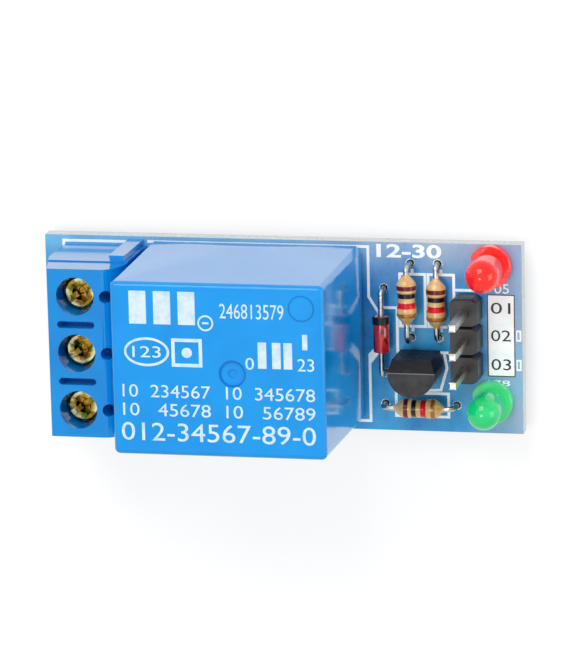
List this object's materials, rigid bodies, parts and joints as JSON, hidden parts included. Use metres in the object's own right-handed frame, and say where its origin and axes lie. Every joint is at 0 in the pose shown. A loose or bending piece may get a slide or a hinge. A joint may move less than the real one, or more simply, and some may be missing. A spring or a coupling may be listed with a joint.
{
  "type": "relay module board",
  "caption": "Small blue circuit board with a sealed cube relay, a screw terminal block, a pin header, lights and driver parts.",
  "frame": {"origin": "middle of the board in X and Y, at the tips of the trimmed leads it rests on", "axes": "+X from the screw terminal to the pin header, +Y across the board, +Z out of the component side"},
  "size_m": [0.043, 0.017, 0.0187],
  "materials": {
    "solder_mask": "glass fibre board under glossy blue solder mask, pale sawn edges",
    "tinned_copper": "copper pads with a thin coat of tin",
    "white_ink": "screen printed white ink",
    "solder": "bright solder",
    "terminal_plastic": "moulded blue nylon with a soft gloss",
    "clamp_brass": "nickel flashed brass",
    "screw_steel": "yellow passivated zinc on steel",
    "guard_steel": "stainless strip",
    "cover_plastic": "moulded blue cover with a high gloss",
    "base_plastic": "moulded dark blue base",
    "bobbin_plastic": "natural moulded bobbin",
    "enamelled_copper": "enamelled copper wire wound in layers",
    "relay_iron": "zinc plated soft iron",
    "spring_copper": "rolled copper alloy strip",
    "contact_silver": "silver alloy contact",
    "blade_copper": "tinned copper alloy blade",
    "header_plastic": "moulded black plastic",
    "pin_metal": "bright tinned square pin",
    "resistor_lacquer": "tan lacquer, glossy and slightly uneven",
    "tinned_wire": "tinned wire",
    "paint_brown": "painted ring",
    "paint_black": "painted ring",
    "paint_red": "painted ring",
    "paint_gold": "metallic painted ring",
    "diode_glass": "tinted glass bead",
    "diode_chip": "silicon chip",
    "transistor_epoxy": "moulded black epoxy",
    "red_epoxy": "red tinted clear epoxy lens",
    "green_epoxy": "green tinted clear epoxy lens"
  },
  "bodies": {
    "base_unit": {"board": "solder_mask", "plated_holes": "tinned_copper", "printed_ink": "white_ink", "solder_joints": "solder", "terminal_housing": "terminal_plastic", "clamp_frames": "clamp_brass", "relay_cover": "cover_plastic", "relay_base": "base_plastic", "relay_bobbin": "bobbin_plastic", "relay_winding": "enamelled_copper", "relay_core": "relay_iron", "relay_yoke": "relay_iron", "relay_fixed_contacts": "contact_silver", "relay_open_blade": "blade_copper", "relay_closed_blade": "blade_copper", "relay_common_blade": "blade_copper", "relay_coil_pins": "blade_copper", "relay_spring_anchor": "spring_copper", "header_body": "header_plastic", "header_pins": "pin_metal", "resistor_1": "resistor_lacquer", "resistor_2": "resistor_lacquer", "resistor_3": "resistor_lacquer", "resistor_1_wires": "tinned_wire", "resistor_2_wires": "tinned_wire", "resistor_3_wires": "tinned_wire", "bands_brown": "paint_brown", "bands_black": "paint_black", "bands_red": "paint_red", "bands_gold": "paint_gold", "diode_glass": "diode_glass", "diode_wires": "tinned_wire", "diode_chip": "diode_chip", "diode_band": "paint_black", "transistor_body": "transistor_epoxy", "transistor_legs": "tinned_wire", "red_lens": "red_epoxy", "red_frame": "tinned_wire", "green_lens": "green_epoxy", "green_frame": "tinned_wire"},
    "guard_1": {"wire_guard_1": "guard_steel"},
    "screw_1": {"clamp_screw_1": "screw_steel"},
    "guard_2": {"wire_guard_2": "guard_steel"},
    "screw_2": {"clamp_screw_2": "screw_steel"},
    "guard_3": {"wire_guard_3": "guard_steel"},
    "screw_3": {"clamp_screw_3": "screw_steel"},
    "armature": {"relay_armature": "relay_iron", "relay_spring_arm": "spring_copper", "relay_moving_contact": "contact_silver"}
  },
  "joints": [
    {"name": "guard_1_press", "type": "slide", "parent": "base_unit", "child": "guard_1", "axis": [0, 0, -1], "range_m": [0, 0.0018]},
    {"name": "screw_1_turn", "type": "hinge", "parent": "guard_1", "child": "screw_1", "pos_m": [-0.01622, 0.00515, 0.0114], "axis": [0, 0, -1], "range_deg": [0, 1440]},
    {"name": "guard_2_press", "type": "slide", "parent": "base_unit", "child": "guard_2", "axis": [0, 0, -1], "range_m": [0, 0.0018]},
    {"name": "screw_2_turn", "type": "hinge", "parent": "guard_2", "child": "screw_2", "pos_m": [-0.01622, 0.00007, 0.0114], "axis": [0, 0, -1], "range_deg": [0, 1440]},
    {"name": "guard_3_press", "type": "slide", "parent": "base_unit", "child": "guard_3", "axis": [0, 0, -1], "range_m": [0, 0.0018]},
    {"name": "screw_3_turn", "type": "hinge", "parent": "guard_3", "child": "screw_3", "pos_m": [-0.01622, -0.00501, 0.0114], "axis": [0, 0, -1], "range_deg": [0, 1440]},
    {"name": "armature_pull", "type": "hinge", "parent": "base_unit", "child": "armature", "pos_m": [0.0041, 0.0002, 0.01555], "axis": [0, -1, 0], "range_deg": [0, 2.59], "stiffness_Nm_per_rad": 0.01, "springref_deg": -5.73}
  ],
  "couplings": [
    {"joint": "screw_1_turn", "follows": "guard_1_press", "rad_per_m": 13963},
    {"joint": "screw_2_turn", "follows": "guard_2_press", "rad_per_m": 13963},
    {"joint": "screw_3_turn", "follows": "guard_3_press", "rad_per_m": 13963}
  ]
}
